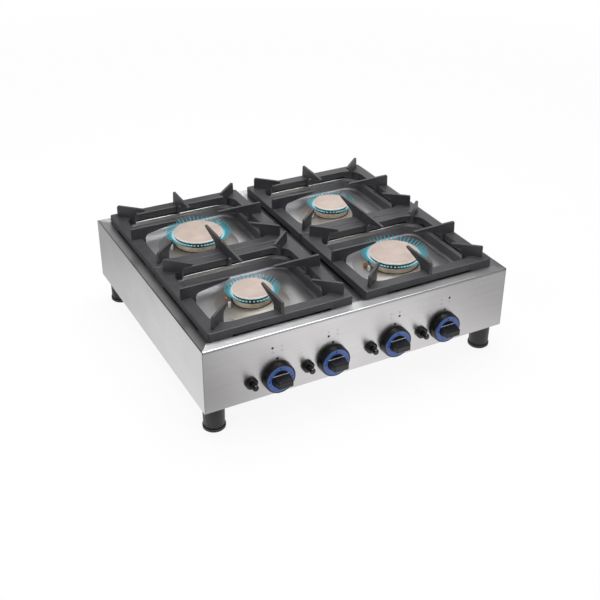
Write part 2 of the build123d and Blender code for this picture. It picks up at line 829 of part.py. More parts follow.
# Manifold: a tube along the front with its run back to the inlet, and the inlet's threaded nipple
inlet_start = rear_y - panel_gauge - inlet_hex
manifold_left = -knob_outer_x - valve_diameter
with BuildPart() as gas_manifold:
    with BuildLine() as manifold_route:
        FilletPolyline(
            (manifold_left, manifold_y, inlet_z),
            (inlet_x, manifold_y, inlet_z),
            (inlet_x, inlet_start, inlet_z),
            radius=manifold_bend,
        )
    start = Plane(origin=(manifold_left, manifold_y, inlet_z), x_dir=(0, 1, 0), z_dir=(1, 0, 0))
    with BuildSketch(start):
        Circle(manifold_diameter / 2)
        Circle(manifold_diameter / 2 - manifold_wall, mode=Mode.SUBTRACT)
    sweep(path=manifold_route.line)
    with BuildSketch(start):
        Circle(manifold_diameter / 2)
    extrude(amount=-manifold_wall)
keep(gas_manifold.part, "gas_manifold")

with BuildPart() as gas_inlet:
    entry = Plane(origin=(inlet_x, inlet_start, inlet_z), x_dir=(1, 0, 0), z_dir=(0, 1, 0))
    with BuildSketch(entry):
        RegularPolygon(inlet_hex / 2, 6, major_radius=False)
    extrude(amount=inlet_hex)
    with BuildSketch(entry.offset(inlet_hex)):
        Circle(inlet_neck / 2)
    extrude(amount=panel_gauge + inlet_collar)
    with BuildSketch(entry.offset(inlet_hex)):
        Circle(inlet_diameter / 2)
    extrude(amount=panel_gauge + inlet_reach)
    with BuildSketch(entry):
        Circle(manifold_diameter / 2 - manifold_wall)
    extrude(amount=inlet_hex + panel_gauge + inlet_reach, mode=Mode.SUBTRACT)
    mouth = gas_inlet.edges().filter_by(GeomType.CIRCLE).group_by(Axis.Y)[-1].sort_by(SortBy.RADIUS)[-1]
    chamfer(mouth, inlet_chamfer)
keep(gas_inlet.part, "gas_inlet")


# Injectors and supply pipes: each valve feeds the mixing tube of its own burner
outlet_y = front_y - valve_rear + valve_outlet
injectors = []
supply_pipes = []
for name, (side, end, _, knob_x) in burners.items():
    tube_side, reach = mixing_tubes[name]
    y = end * burner_y
    mouth_x = side * burner_x + tube_side * reach
    jet_x = mouth_x - tube_side * injector_entry
    jet_end = jet_x + tube_side * injector_length
    with BuildPart() as injector:
        jet_plane = Plane(origin=(jet_x, y, control_z), x_dir=(0, 1, 0), z_dir=(tube_side, 0, 0))
        with BuildSketch(jet_plane.offset(injector_entry)):
            RegularPolygon(injector_diameter / 2, 6, major_radius=False)
        extrude(amount=injector_length - injector_entry)
        with BuildSketch(jet_plane):
            Circle(injector_shank / 2)
        extrude(amount=injector_entry)
    injectors.append(injector.part)

    if end < 0:
        corners_of_run = [(knob_x, outlet_y), (knob_x, y), (jet_end, y)]
    else:
        bend_y = outlet_y + pipe_setback
        turn_x = jet_end + tube_side * (pipe_bend + pipe_tail)
        corners_of_run = [
            (knob_x, outlet_y),
            (knob_x, bend_y),
            (turn_x, bend_y),
            (turn_x, y),
            (jet_end, y),
        ]
    with BuildPart() as pipe:
        with BuildLine() as run:
            FilletPolyline(*[(px, py, control_z) for px, py in corners_of_run], radius=pipe_bend)
        with BuildSketch(Plane(origin=(knob_x, outlet_y, control_z), x_dir=(1, 0, 0), z_dir=(0, 1, 0))):
            Circle(pipe_diameter / 2)
        sweep(path=run.line)
    supply_pipes.append(pipe.part)

with BuildPart() as injector_group:
    add(injectors)
keep(injector_group.part, "injectors")
with BuildPart() as pipe_group:
    add(supply_pipes)
keep(pipe_group.part, "supply_pipes")


# Piezo igniters: threaded barrels through the panel with round collars, and their push buttons
barrel_r = barrel_diameter / 2
button_bore = button_diameter / 2 + shaft_clearance
button_rear = -panel_gauge
with BuildPart() as igniter_collars:
    for _, _, _, knob_x in burners.values():
        x = knob_x - igniter_offset
        collar_outline = [
            (0, barrel_r),
            (0, collar_diameter / 2),
            (collar_depth - collar_bevel, collar_diameter / 2),
            (collar_depth, collar_diameter / 2 - collar_bevel),
            (collar_depth, button_bore),
            (button_rear - button_travel - travel_gap, button_bore),
            (button_rear - button_travel - travel_gap, 0),
            (-barrel_length, 0),
            (-barrel_length, barrel_r),
            (-panel_gauge - casting_wall, barrel_r),
            (-panel_gauge - casting_wall, collar_diameter / 2),
            (-panel_gauge, collar_diameter / 2),
            (-panel_gauge, barrel_r),
        ]
        axis = Axis((x, front_y, igniter_z), (0, -1, 0))
        revolve(outline(facing(x, igniter_z), collar_outline), axis=axis)
keep(igniter_collars.part, "igniter_collars")

for name, (_, _, _, knob_x) in burners.items():
    x = knob_x - igniter_offset
    with BuildPart() as button:
        button_outline = [
            (button_rear, 0),
            (button_rear, button_diameter / 2),
            (button_reach - button_crown, button_diameter / 2),
            (button_reach - button_crown / 3, button_diameter / 2 - button_crown / 3),
            (button_reach, button_diameter / 2 - button_crown),
            (button_reach, 0),
        ]
        axis = Axis((x, front_y, igniter_z), (0, -1, 0))
        revolve(outline(facing(x, igniter_z), button_outline), axis=axis)
    keep(button.part, f"igniter_button_{name}")


# Screws that hold the rear panel to the side panels' flanges
with BuildPart() as panel_screws:
    for side in (-1, 1):
        for height in screw_heights:
            back = Plane(origin=(side * screw_x, rear_y, height), x_dir=(-1, 0, 0), z_dir=(0, 1, 0))
            with BuildSketch(back):
                Circle(screw_head / 2)
            extrude(amount=screw_head_height, taper=screw_head_taper)
            with BuildSketch(back):
                Circle(screw_diameter / 2)
            extrude(amount=-screw_length)
keep(panel_screws.part, "panel_screws")
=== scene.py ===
"""Countertop gas stove with four burners: finishes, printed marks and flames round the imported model."""

import json
import math

import bpy
from mathutils import Matrix, Vector


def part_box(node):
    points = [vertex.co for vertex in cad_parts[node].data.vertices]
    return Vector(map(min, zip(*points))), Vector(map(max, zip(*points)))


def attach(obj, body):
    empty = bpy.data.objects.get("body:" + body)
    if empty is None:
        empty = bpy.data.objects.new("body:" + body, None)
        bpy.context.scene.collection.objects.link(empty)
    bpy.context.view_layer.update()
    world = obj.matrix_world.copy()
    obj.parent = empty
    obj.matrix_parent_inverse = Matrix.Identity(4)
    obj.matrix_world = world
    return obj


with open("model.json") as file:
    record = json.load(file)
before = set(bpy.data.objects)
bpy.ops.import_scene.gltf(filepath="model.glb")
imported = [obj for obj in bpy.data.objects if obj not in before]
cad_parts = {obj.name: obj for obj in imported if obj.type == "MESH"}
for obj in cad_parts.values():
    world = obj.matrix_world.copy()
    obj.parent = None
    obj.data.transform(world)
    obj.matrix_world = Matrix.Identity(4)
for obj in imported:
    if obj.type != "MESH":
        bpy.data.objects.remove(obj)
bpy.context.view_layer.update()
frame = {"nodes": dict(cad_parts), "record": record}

nodes = frame["nodes"]


# Side, front and rear panels: 1.5 mm stainless sheet, bent on a press brake and ground with a belt.
# The grinding runs level along each face, so lights stretch upwards into soft columns, and the
# protective film leaves faint clouds that break up the sheen.
def linear(code):
    """An sRGB colour such as #C9C9C7 as linear red, green, blue and alpha."""
    shares = [int(code[place:place + 2], 16) / 255 for place in (1, 3, 5)]
    return tuple(s / 12.92 if s <= 0.04045 else ((s + 0.055) / 1.055) ** 2.4 for s in shares) + (1.0,)


def node(finish, kind, inputs=None, settings=None, stops=None):
    """Adds one node to a finish: values or links for its inputs, its settings and a ramp's colours."""
    made = finish.node_tree.nodes.new("ShaderNode" + kind)
    for name, value in (settings or {}).items():
        setattr(made, name, value)
    for name, value in (inputs or {}).items():
        socket = made.inputs[name]
        if isinstance(value, bpy.types.NodeSocket):
            finish.node_tree.links.new(value, socket)
        else:
            socket.default_value = value
    for number, (place, colour) in enumerate(stops or ()):
        steps = made.color_ramp.elements
        step = steps[number] if number < len(steps) else steps.new(place)
        step.position = place
        step.color = linear(colour)
    return made


def new_finish(name):
    """An empty material with its output node."""
    finish = bpy.data.materials.new(name)
    finish.use_nodes = True
    finish.node_tree.nodes.clear()
    return finish, node(finish, "OutputMaterial")


def shade(finish, output, shader):
    """Links a finish's shader to its output node."""
    finish.node_tree.links.new(shader.outputs[0], output.inputs["Surface"])


def coat(finish, *names):
    """Gives CAD nodes a finish."""
    for name in names:
        for place in nodes[name].material_slots:
            place.material = finish


grind_line = 0.0011  # real lines are 0.1 to 0.2 mm wide, drawn coarser so that they show
grind_length = 0.14
groove_depth = 0.00003
film_cloud = 0.111  # width of a faint patch that the protective film leaves


def ground_stainless(name, grain, light, dark):
    """Belt-ground stainless steel with its lines along one axis, 0 for X or 1 for Y."""
    finish, output = new_finish(name)
    place = node(finish, "TexCoord").outputs["Object"]
    across = 1 / grind_line
    scale = [across, across, across]
    scale[grain] = 1 / grind_length
    lines = node(finish, "Mapping", {"Vector": place, "Scale": scale})
    grinding = node(finish, "TexNoise", {"Vector": lines.outputs[0], "Scale": 1.0, "Detail": 3.0})
    clouds = node(finish, "TexNoise", {"Vector": place, "Scale": 1 / film_cloud, "Detail": 2.0})
    tone = node(finish, "ValToRGB", {"Fac": grinding.outputs[0]}, stops=[(0.3, dark), (0.7, light)])
    rough = node(finish, "MapRange", {
        "Value": clouds.outputs[0], "From Min": 0.35, "From Max": 0.65, "To Min": 0.27, "To Max": 0.33})
    relief = node(finish, "Bump", {
        "Height": grinding.outputs[0], "Strength": 0.1, "Distance": groove_depth})
    upwards = node(finish, "CombineXYZ", {"Z": 1.0})
    steel = node(finish, "BsdfPrincipled", {
        "Base Color": tone.outputs[0], "Metallic": 1.0, "Roughness": rough.outputs[0],
        "Anisotropic": 0.6, "Tangent": upwards.outputs[0], "Normal": relief.outputs[0]})
    shade(finish, output, steel)
    return finish


steel_along_x = ground_stainless("ground_stainless_along_x", 0, "#D0CECF", "#C6C4C5")
steel_along_y = ground_stainless("ground_stainless_along_y", 1, "#CBCBCC", "#C1C1C2")
coat(steel_along_x, "front_panel", "rear_panel")
coat(steel_along_y, "left_side_panel", "right_side_panel")


# Base panel, corner brackets and cross rails: hot-dip galvanised sheet, sheared and punched.
# The zinc froze in flat crystals some 8 mm across, which shine at slightly different greys.
crystal = 0.00833
galvanised, output = new_finish("galvanised_sheet")
place = node(galvanised, "TexCoord").outputs["Object"]
spangle = node(galvanised, "TexVoronoi", {"Vector": place, "Scale": 1 / crystal})
grey = node(galvanised, "ValToRGB", {"Fac": spangle.outputs["Color"]},
            stops=[(0.0, "#8D9092"), (1.0, "#B4B7B8")])
dull = node(galvanised, "MapRange", {"Value": spangle.outputs["Distance"], "To Min": 0.38, "To Max": 0.52})
zinc = node(galvanised, "BsdfPrincipled", {
    "Base Color": grey.outputs[0], "Metallic": 0.9, "Roughness": dull.outputs[0]})
shade(galvanised, output, zinc)
coat(galvanised, "base_panel", "corner_brackets", "burner_rails")


# Feet: a tapered polyamide sleeve on each corner and a disc foot that screws out of it.
# Moulded in black with a fine spark-eroded grain, so edges stay soft and dull.
sleeve_grain = 0.0012  # the real grain is near 0.1 mm, drawn coarser so that it shows
flow_patch = 0.025  # width of the patches in which a moulding's tone and gloss drift
grain_depth = 0.00006


def black_moulding(name, rough, grit, dark, light):
    """Black moulded plastic with a mould grain of a given size."""
    finish, output = new_finish(name)
    place = node(finish, "TexCoord").outputs["Object"]
    grain = node(finish, "TexNoise", {"Vector": place, "Scale": 1 / grit, "Detail": 2.0})
    worn = node(finish, "TexNoise", {"Vector": place, "Scale": 1 / flow_patch, "Detail": 3.0})
    tone = node(finish, "ValToRGB", {"Fac": worn.outputs[0]}, stops=[(0.3, dark), (0.75, light)])
    gloss = node(finish, "MapRange", {
        "Value": worn.outputs[0], "To Min": rough - 0.03, "To Max": rough + 0.05})
    relief = node(finish, "Bump", {"Height": grain.outputs[0], "Strength": 0.2, "Distance": grain_depth})
    plastic = node(finish, "BsdfPrincipled", {
        "Base Color": tone.outputs[0], "Roughness": gloss.outputs[0], "IOR": 1.5,
        "Normal": relief.outputs[0]})
    shade(finish, output, plastic)
    return finish


corner_names = ("front_left", "front_right", "rear_left", "rear_right")
polyamide = black_moulding("polyamide_moulded", 0.45, sleeve_grain, "#171718", "#222224")
coat(polyamide, "foot_sleeves", *["adjuster_foot_" + corner for corner in corner_names])


# Gas manifold, valves, plugs, injectors and pipes: the manifold is plated steel tube, the valves and
# injectors are turned brass, and annealed copper pipes run from them to the burners. Handling and
# soldering leave each metal brighter and duller in patches.
tool_mark = 0.00111  # a lathe leaves lines 0.1 to 0.2 mm apart, drawn coarser so that they show
tool_mark_depth = 0.00005


def worn_metal(name, light, dark, rough, patch, metallic=1.0):
    """A machined or drawn metal whose tone and gloss drift in patches of a given size."""
    finish, output = new_finish(name)
    place = node(finish, "TexCoord").outputs["Object"]
    drift = node(finish, "TexNoise", {"Vector": place, "Scale": 1 / patch, "Detail": 4.0})
    turned = node(finish, "TexNoise", {"Vector": place, "Scale": 1 / tool_mark, "Detail": 1.0})
    tone = node(finish, "ValToRGB", {"Fac": drift.outputs[0]}, stops=[(0.35, dark), (0.65, light)])
    gloss = node(finish, "MapRange", {
        "Value": drift.outputs[0], "To Min": rough - 0.08, "To Max": rough + 0.08})
    relief = node(finish, "Bump", {
        "Height": turned.outputs[0], "Strength": 0.15, "Distance": tool_mark_depth})
    metal = node(finish, "BsdfPrincipled", {
        "Base Color": tone.outputs[0], "Metallic": metallic, "Roughness": gloss.outputs[0],
        "Normal": relief.outputs[0]})
    shade(finish, output, metal)
    return finish


zinc_tube = worn_metal("zinc_plated_tube", "#C3C4C2", "#A5A6A5", 0.32, 0.03)
nickel_fitting = worn_metal("nickel_plated_fitting", "#C9C5BC", "#ADA89E", 0.28, 0.02)
turned_brass = worn_metal("turned_brass", "#D9B76A", "#B8934A", 0.3, 0.015)
annealed_copper = worn_metal("annealed_copper", "#C98B68", "#A5644A", 0.35, 0.02)
spindle_steel = worn_metal("spindle_steel", "#BDBDBB", "#9E9E9D", 0.3, 0.01)
coat(zinc_tube, "gas_manifold", "panel_screws")
coat(nickel_fitting, "gas_inlet")
coat(turned_brass, "gas_valves", "injectors", *["tap_plug_" + corner for corner in corner_names])
coat(annealed_copper, "supply_pipes")
coat(spindle_steel, *["spindle_" + corner for corner in corner_names])


# Burner bodies and crowns: nickel-plated castings with a straw tint from the heat, and crowns
# milled with flame ports, darkened by soot and tinted sea green by painted light from the flames.
straw_nickel = worn_metal("heat_tinted_nickel", "#F6E4CE", "#DEC8AC", 0.32, 0.018, 0.25)
sooted_flame_lit_crown = worn_metal("sooted_crown_alloy", "#5C7472", "#3E5654", 0.42, 0.012, 0.5)
for corner in corner_names:
    coat(straw_nickel, "burner_body_" + corner)
    coat(sooted_flame_lit_crown, "flame_spreader_" + corner)


# Worktop: one 2 mm stainless sheet with four pressed wells. Its rim is ground like a picture frame:
# the front and rear rims along X, all the rest along Y, meeting in mitred corners. Heat has dulled the
# cones and drawing has dulled the radii. Painted shade darkens the drawn radii, the fold and tight corners.
rim_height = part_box("worktop")[1].z
rim_skin = 0.0005
rim_depth = 0.004
well_start = rim_height - 0.01
burner_low, burner_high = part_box("burner_cap_rear_right")
burner_middle = (burner_low + burner_high) / 2
cone_edge = 0.105  # radius at which the heat tint of a cone fades out
cone_blend = 0.03
seat_height = rim_height - 0.022
seat_skin = 0.0002
front_rim_width = 0.0325
side_rim_width = 0.025
half_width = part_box("right_side_panel")[1].x
half_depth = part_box("worktop")[1].y
rim_line = half_depth - front_rim_width
mitre_start = half_width - side_rim_width
mitre_rise = front_rim_width / side_rim_width
fold_line = half_depth - 0.005
gloss_cloud = 0.0909
shade_reach = 0.05  # how near another face has to be to cast painted shade

worktop_steel, output = new_finish("ground_stainless_worktop")
place = node(worktop_steel, "TexCoord").outputs["Object"]
parts = node(worktop_steel, "SeparateXYZ", {"Vector": place})
side = node(worktop_steel, "Math", {0: parts.outputs["X"]}, {"operation": "ABSOLUTE"})
end = node(worktop_steel, "Math", {0: parts.outputs["Y"]}, {"operation": "ABSOLUTE"})

# Where the grinding runs along X: beyond the rim's line and inside its mitres.
# A Mix node has its numbers at inputs 2 and 3, vectors at 4 and 5, and colours at 6 and 7.
beyond_line = node(worktop_steel, "Math", {0: end.outputs[0], 1: rim_line}, {"operation": "SUBTRACT"})
beyond_start = node(worktop_steel, "Math", {0: side.outputs[0], 1: mitre_start}, {"operation": "SUBTRACT"})
mitre = node(worktop_steel, "Math", {0: beyond_start.outputs[0], 1: mitre_rise}, {"operation": "MULTIPLY"})
edge = node(worktop_steel, "Math", {0: mitre.outputs[0], 1: 0.0}, {"operation": "MAXIMUM"})
frame_end = node(worktop_steel, "Math", {0: beyond_line.outputs[0], 1: edge.outputs[0]},
                 {"operation": "GREATER_THAN"})
lines_x = node(worktop_steel, "Mapping", {
    "Vector": place, "Scale": (1 / grind_length, 1 / grind_line, 1 / grind_line)})
lines_y = node(worktop_steel, "Mapping", {
    "Vector": place, "Scale": (1 / grind_line, 1 / grind_length, 1 / grind_line)})
lines = node(worktop_steel, "Mix", {0: frame_end.outputs[0], 4: lines_y.outputs[0], 5: lines_x.outputs[0]},
             {"data_type": "VECTOR"})
grinding = node(worktop_steel, "TexNoise", {"Vector": lines.outputs[1], "Scale": 1.0, "Detail": 3.0})

# Which zone a point is in: rim, cone, drawn radius of a well, or the fold at front and rear.
mirrored = node(worktop_steel, "CombineXYZ", {"X": side.outputs[0], "Y": end.outputs[0]})
from_burner = node(worktop_steel, "VectorMath", {
    0: mirrored.outputs[0], 1: (burner_middle.x, burner_middle.y, 0)}, {"operation": "DISTANCE"})
is_cone = node(worktop_steel, "MapRange", {
    "Value": from_burner.outputs["Value"], "From Min": cone_edge, "From Max": cone_edge - cone_blend})
tilt = node(worktop_steel, "SeparateXYZ", {"Vector": node(worktop_steel, "NewGeometry").outputs["Normal"]})
is_bent = node(worktop_steel, "MapRange", {
    "Value": tilt.outputs["Z"], "From Min": 0.995, "From Max": 0.95})
is_deep = node(worktop_steel, "Math", {0: parts.outputs["Z"], 1: well_start}, {"operation": "LESS_THAN"})
is_drawn = node(worktop_steel, "Math", {0: is_bent.outputs[0], 1: is_deep.outputs[0]},
                {"operation": "MULTIPLY"})
off_cone = node(worktop_steel, "Math", {0: 1.0, 1: is_cone.outputs[0]}, {"operation": "SUBTRACT"})
is_radius = node(worktop_steel, "Math", {0: is_drawn.outputs[0], 1: off_cone.outputs[0]},
                 {"operation": "MULTIPLY"})
is_rim = node(worktop_steel, "MapRange", {
    "Value": parts.outputs["Z"], "From Min": rim_height - rim_depth, "From Max": rim_height - rim_skin})
is_end = node(worktop_steel, "Math", {0: end.outputs[0], 1: fold_line}, {"operation": "GREATER_THAN"})
is_fold = node(worktop_steel, "Math", {0: is_end.outputs[0], 1: is_bent.outputs[0]},
               {"operation": "MULTIPLY"})

# Gloss: the drawn slopes are dull, and clouds vary the rest.
clouds = node(worktop_steel, "TexNoise", {"Vector": place, "Scale": 1 / gloss_cloud, "Detail": 3.0})
ground_gloss = node(worktop_steel, "MapRange", {
    "Value": clouds.outputs[0], "From Min": 0.3, "From Max": 0.7, "To Min": 0.28, "To Max": 0.34})
pressed_gloss = node(worktop_steel, "MapRange", {
    "Value": clouds.outputs[0], "From Min": 0.3, "From Max": 0.7, "To Min": 0.27, "To Max": 0.33})
drawn_gloss = node(worktop_steel, "Mix", {0: is_drawn.outputs[0], 2: pressed_gloss.outputs[0], 3: 0.55})
rough = node(worktop_steel, "Mix", {
    0: is_rim.outputs[0], 2: drawn_gloss.outputs[0], 3: ground_gloss.outputs[0]})

# Tone: pressed steel, tinted by heat on the cones, with painted shade in the drawn radii and along the fold
# that dims the lamp's lines there.
ground_tone = node(worktop_steel, "ValToRGB", {"Fac": grinding.outputs[0]},
                   stops=[(0.3, "#BEBEC0"), (0.7, "#C6C6C7")])
pressed_tone = node(worktop_steel, "ValToRGB", {"Fac": clouds.outputs[0]},
                    stops=[(0.3, "#C2C2C4"), (0.7, "#CACACB")])
heated_tone = node(worktop_steel, "Mix", {
    0: is_cone.outputs[0], 6: pressed_tone.outputs[0], 7: linear("#9C978F")}, {"data_type": "RGBA"})
radius_shaded_tone = node(worktop_steel, "Mix", {
    0: is_radius.outputs[0], 6: heated_tone.outputs[2], 7: linear("#808083")}, {"data_type": "RGBA"})
rim_tone = node(worktop_steel, "Mix", {
    0: is_rim.outputs[0], 6: radius_shaded_tone.outputs[2], 7: ground_tone.outputs[0]}, {"data_type": "RGBA"})
fold_shaded_tone = node(worktop_steel, "Mix", {
    0: is_fold.outputs[0], 6: rim_tone.outputs[2], 7: linear("#A6A6A8")}, {"data_type": "RGBA"})

# Dirt baked on round the burners' seats, and painted shade where other faces come near.
by_seat = node(worktop_steel, "Math", {0: parts.outputs["Z"], 1: seat_height - seat_skin},
               {"operation": "GREATER_THAN"})
joint = node(worktop_steel, "Math", {0: by_seat.outputs[0], 1: is_cone.outputs[0]},
             {"operation": "MULTIPLY"})
baked = node(worktop_steel, "Mix", {
    0: joint.outputs[0], 6: fold_shaded_tone.outputs[2], 7: linear("#4A3C34")}, {"data_type": "RGBA"})
# Painted shade: the base colour goes to #323234 where ambient occlusion finds other faces near.
open_sky = node(worktop_steel, "AmbientOcclusion", {"Distance": shade_reach}, {"samples": 16})
unshaded_share = node(worktop_steel, "MapRange", {
    "Value": open_sky.outputs["AO"], "From Min": 0.25, "From Max": 0.75})
shaded_tone = node(worktop_steel, "Mix", {
    0: unshaded_share.outputs[0], 6: linear("#323234"), 7: baked.outputs[2]}, {"data_type": "RGBA"})

# The grinding stretches lights across its lines on the rim, and not in the pressed wells.
groove = node(worktop_steel, "Math", {0: is_rim.outputs[0], 1: 0.1}, {"operation": "MULTIPLY"})
stretch = node(worktop_steel, "Math", {0: is_rim.outputs[0], 1: 0.85}, {"operation": "MULTIPLY"})
relief = node(worktop_steel, "Bump", {
    "Height": grinding.outputs[0], "Strength": groove.outputs[0], "Distance": groove_depth})
not_end = node(worktop_steel, "Math", {0: 1.0, 1: frame_end.outputs[0]}, {"operation": "SUBTRACT"})
across_lines = node(worktop_steel, "CombineXYZ", {"X": not_end.outputs[0], "Y": frame_end.outputs[0]})
steel = node(worktop_steel, "BsdfPrincipled", {
    "Base Color": shaded_tone.outputs[2], "Metallic": 1.0, "Roughness": rough.outputs[0],
    "Anisotropic": stretch.outputs[0], "Tangent": across_lines.outputs[0], "Normal": relief.outputs[0]})
shade(worktop_steel, output, steel)
coat(worktop_steel, "worktop")


# Spark electrodes and pilots: glazed alumina tubes with a steel tip, and copper-tipped pilot jets,
# which stand through holes in the cones at the left of each burner. The glaze is white with a trace
# of soot, and gives small sharp highlights.
steel_tip = 0.0035
soot_speck = 0.00286
ceramic_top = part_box("spark_electrodes")[1].z - steel_tip
alumina, output = new_finish("glazed_alumina")
place = node(alumina, "TexCoord").outputs["Object"]
height = node(alumina, "SeparateXYZ", {"Vector": place})
is_tip = node(alumina, "Math", {0: height.outputs["Z"], 1: ceramic_top}, {"operation": "GREATER_THAN"})
soot = node(alumina, "TexNoise", {"Vector": place, "Scale": 1 / soot_speck, "Detail": 3.0})
glaze = node(alumina, "ValToRGB", {"Fac": soot.outputs[0]}, stops=[(0.35, "#ECE8DF"), (0.6, "#FFFFFF")])
tone = node(alumina, "Mix", {0: is_tip.outputs[0], 6: glaze.outputs[0], 7: linear("#8F8C88")},
            {"data_type": "RGBA"})
fired = node(alumina, "BsdfPrincipled", {
    "Base Color": tone.outputs[2], "Metallic": is_tip.outputs[0], "Roughness": 0.22, "IOR": 1.6})
shade(alumina, output, fired)
coat(alumina, "spark_electrodes")
copper_tip = worn_metal("copper_tip", "#E2A98C", "#B5765A", 0.3, 0.004, 0.4)
coat(copper_tip, "pilot_burners")


# Burner caps: pressed discs in a matt vitreous enamel, a warm stone colour; a painted highlight makes
# the chamfered rim pale. Fine specks of frit and slight heat stains keep the disc from looking flat.
heat_stain = 0.0385
frit_grain = 0.00111  # real specks are 0.2 to 0.5 mm wide, drawn coarser so that they show
frit_height = 0.00006
enamel, output = new_finish("vitreous_enamel_stone")
place = node(enamel, "TexCoord").outputs["Object"]
stain = node(enamel, "TexNoise", {"Vector": place, "Scale": 1 / heat_stain, "Detail": 4.0})
frit = node(enamel, "TexNoise", {"Vector": place, "Scale": 1 / frit_grain, "Detail": 1.0})
tone = node(enamel, "ValToRGB", {"Fac": stain.outputs[0]}, stops=[(0.3, "#B7A59A"), (0.7, "#C9B8AE")])
face = node(enamel, "NewGeometry")
slope = node(enamel, "SeparateXYZ", {"Vector": face.outputs["True Normal"]})
is_chamfer = node(enamel, "MapRange", {
    "Value": slope.outputs["Z"], "From Min": 0.6, "From Max": 0.95, "To Min": 1.0, "To Max": 0.0})
# Painted highlight: the chamfered rim turns nearly white.
paler = node(enamel, "Mix", {0: is_chamfer.outputs[0], 6: tone.outputs[0], 7: linear("#F8F2EC")},
             {"data_type": "RGBA"})
relief = node(enamel, "Bump", {"Height": frit.outputs[0], "Strength": 0.2, "Distance": frit_height})
glass = node(enamel, "BsdfPrincipled", {
    "Base Color": paler.outputs[2], "Roughness": 0.42, "IOR": 1.5, "Normal": relief.outputs[0]})
shade(enamel, output, glass)
coat(enamel, *["burner_cap_" + corner for corner in corner_names])


# Flames: one short tongue stands at every port of a crown, nearly white at the port, turquoise
# along its length and clear at its tip. They are gas, so they have no solid in the CAD part.
tongue_sections = [  # distance from the port, height over it and half width, in metres
    (0.0000, 0.0000, 0.0010),
    (0.0040, 0.0020, 0.0018),
    (0.0100, 0.0060, 0.0020),
    (0.0160, 0.0100, 0.0016),
    (0.0220, 0.0140, 0.0004),
]
large_crown = 0.05  # the radius over which a crown belongs to a large burner
large_reach = 1.2  # the two large burners throw their flames this much further
large_ports = 48
small_ports = 36
port_depth = 0.007
flicker_size = 0.00333

flame_gas, output = new_finish("burning_gas")
along = node(flame_gas, "Attribute", settings={"attribute_name": "along_tongue"})
glow = node(flame_gas, "ValToRGB", {"Fac": along.outputs["Fac"]}, stops=[
    (0.0, "#FBFFFF"), (0.2, "#B2E6F2"), (0.34, "#48A7BA"), (0.65, "#349AA6"), (1.0, "#8CCAD0")])
place = node(flame_gas, "TexCoord").outputs["Object"]
flicker = node(flame_gas, "TexNoise", {"Vector": place, "Scale": 1 / flicker_size})
body = node(flame_gas, "MapRange", {
    "Value": along.outputs["Fac"], "From Min": 0.4, "To Min": 0.9, "To Max": 0.15})
thick = node(flame_gas, "Math", {0: body.outputs[0], 1: flicker.outputs[0]}, {"operation": "MULTIPLY"})
denser = node(flame_gas, "Math", {0: thick.outputs[0], 1: 1.9},
              {"operation": "MULTIPLY", "use_clamp": True})
clear = node(flame_gas, "BsdfTransparent")
light = node(flame_gas, "Emission", {"Color": glow.outputs[0], "Strength": 0.95})
burning = node(flame_gas, "MixShader", {0: denser.outputs[0], 1: clear.outputs[0], 2: light.outputs[0]})
shade(flame_gas, output, burning)

for corner in corner_names:
    crown_low, crown_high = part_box("flame_spreader_" + corner)
    middle = (crown_low + crown_high) / 2
    crown_radius = (crown_high.x - crown_low.x) / 2
    is_large = crown_radius > large_crown
    ports = large_ports if is_large else small_ports
    throw = large_reach if is_large else 1.0
    start = Vector((middle.x + crown_radius, middle.y, crown_high.z - port_depth))
    bpy.ops.object.select_all(action="DESELECT")
    bpy.ops.mesh.primitive_circle_add(
        vertices=8, radius=tongue_sections[0][2], fill_type="NGON", location=start,
        rotation=(0, math.pi / 2, 0))
    tongue = bpy.context.object
    tongue.visible_glossy = False  # the photographed steel hardly mirrors them
    bpy.ops.object.transform_apply(location=True, rotation=True, scale=True)
    bpy.ops.object.mode_set(mode="EDIT")
    bpy.ops.mesh.select_all(action="SELECT")
    last = tongue_sections[0]
    for section in tongue_sections[1:]:
        step = (throw * (section[0] - last[0]), 0, section[1] - last[1])
        bpy.ops.mesh.extrude_region_move(TRANSFORM_OT_translate={"value": step})
        centre = start + Vector((throw * section[0], 0, section[1]))
        bpy.ops.transform.resize(value=(section[2] / last[2],) * 3, center_override=centre)
        last = section
    bpy.ops.mesh.select_all(action="SELECT")
    bpy.ops.mesh.normals_make_consistent(inside=False)
    bpy.ops.object.mode_set(mode="OBJECT")
    share = tongue.data.attributes.new("along_tongue", "FLOAT", "POINT")
    for point in tongue.data.vertices:
        share.data[point.index].value = (point.co.x - start.x) / (throw * tongue_sections[-1][0])
    bpy.ops.object.shade_smooth()
    ring = [tongue]
    for port in range(1, ports):
        copy = tongue.copy()
        copy.data = tongue.data.copy()
        bpy.context.collection.objects.link(copy)
        turn = Matrix.Rotation(math.tau * port / ports, 4, "Z")
        copy.data.transform(Matrix.Translation(middle) @ turn @ Matrix.Translation(-middle))
        ring.append(copy)
    bpy.ops.object.select_all(action="DESELECT")
    for copy in ring:
        copy.select_set(True)
    bpy.context.view_layer.objects.active = tongue
    bpy.ops.object.join()
    tongue.name = "flames_" + corner
    tongue.data.materials.append(flame_gas)
    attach(tongue, "root")
